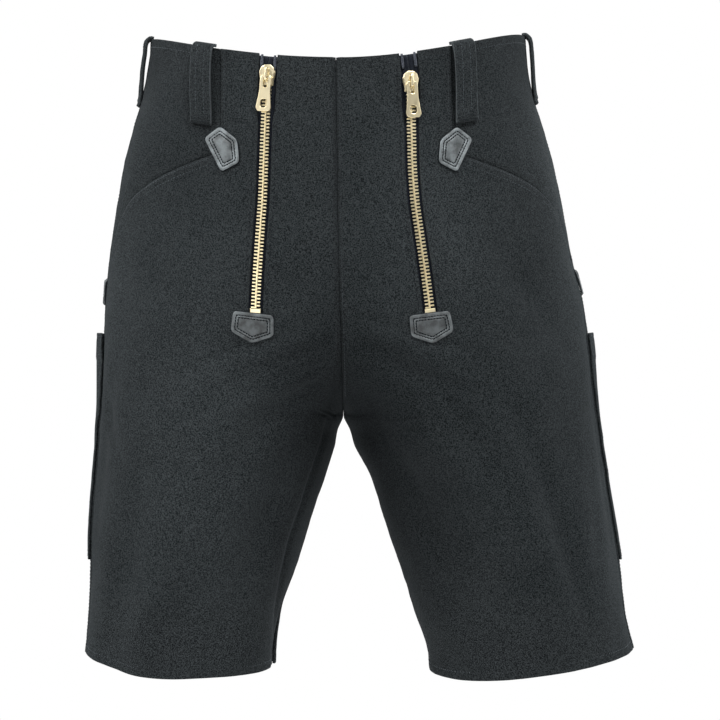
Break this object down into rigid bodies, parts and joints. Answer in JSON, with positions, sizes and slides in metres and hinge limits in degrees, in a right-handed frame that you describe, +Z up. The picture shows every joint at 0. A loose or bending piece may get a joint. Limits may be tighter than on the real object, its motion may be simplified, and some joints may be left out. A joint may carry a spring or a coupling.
{
  "type": "bermuda shorts",
  "caption": "Heavy black work shorts to the knee, worn shape, with brass front zips, leather-tipped slant pockets, rule pockets and belt loops.",
  "frame": {"origin": "middle of the waist opening, level with the waist edge at the side seams", "axes": "+X to the wearer's left, -Y to the front, +Z up through the waist opening"},
  "size_m": [0.4631, 0.2754, 0.5385],
  "materials": {
    "black_twill": "heavy raised cotton twill, almost black, matt with a soft bloom",
    "zip_tape": "black woven zip tape",
    "black_leather": "smooth black leather that catches grey light",
    "brass": "polished pale brass"
  },
  "bodies": {
    "shorts": {"front_right": "black_twill", "back_right": "black_twill", "hip_right": "black_twill", "rule_pocket_right": "black_twill", "belt_loop_front_right": "black_twill", "belt_loop_side_right": "black_twill", "zip_shield_right": "black_twill", "zip_tape_inner_right": "zip_tape", "zip_tape_outer_right": "zip_tape", "zip_chain_right": "brass", "zip_stop_right": "brass", "zip_slider_right": "brass", "zip_tip_right": "black_leather", "pocket_tip_right": "black_leather", "side_tip_right": "black_leather", "front_left": "black_twill", "back_left": "black_twill", "hip_left": "black_twill", "rule_pocket_left": "black_twill", "belt_loop_front_left": "black_twill", "belt_loop_side_left": "black_twill", "zip_shield_left": "black_twill", "zip_tape_inner_left": "zip_tape", "zip_tape_outer_left": "zip_tape", "zip_chain_left": "brass", "zip_stop_left": "brass", "zip_slider_left": "brass", "zip_tip_left": "black_leather", "pocket_tip_left": "black_leather", "side_tip_left": "black_leather", "belt_loop_back": "black_twill"},
    "zip_pull_right": {"zip_pull_right": "brass"},
    "zip_pull_left": {"zip_pull_left": "brass"}
  },
  "joints": [
    {"name": "zip_pull_right_swing", "type": "hinge", "parent": "shorts", "child": "zip_pull_right", "pos_m": [-0.05523, -0.11623, -0.04466], "axis": [-0.9801, 0.1967, 0.0246], "range_deg": [0, 160]},
    {"name": "zip_pull_left_swing", "type": "hinge", "parent": "shorts", "child": "zip_pull_left", "pos_m": [0.06009, -0.11599, -0.04958], "axis": [-0.9776, -0.2102, 0.0075], "range_deg": [0, 160]}
  ]
}
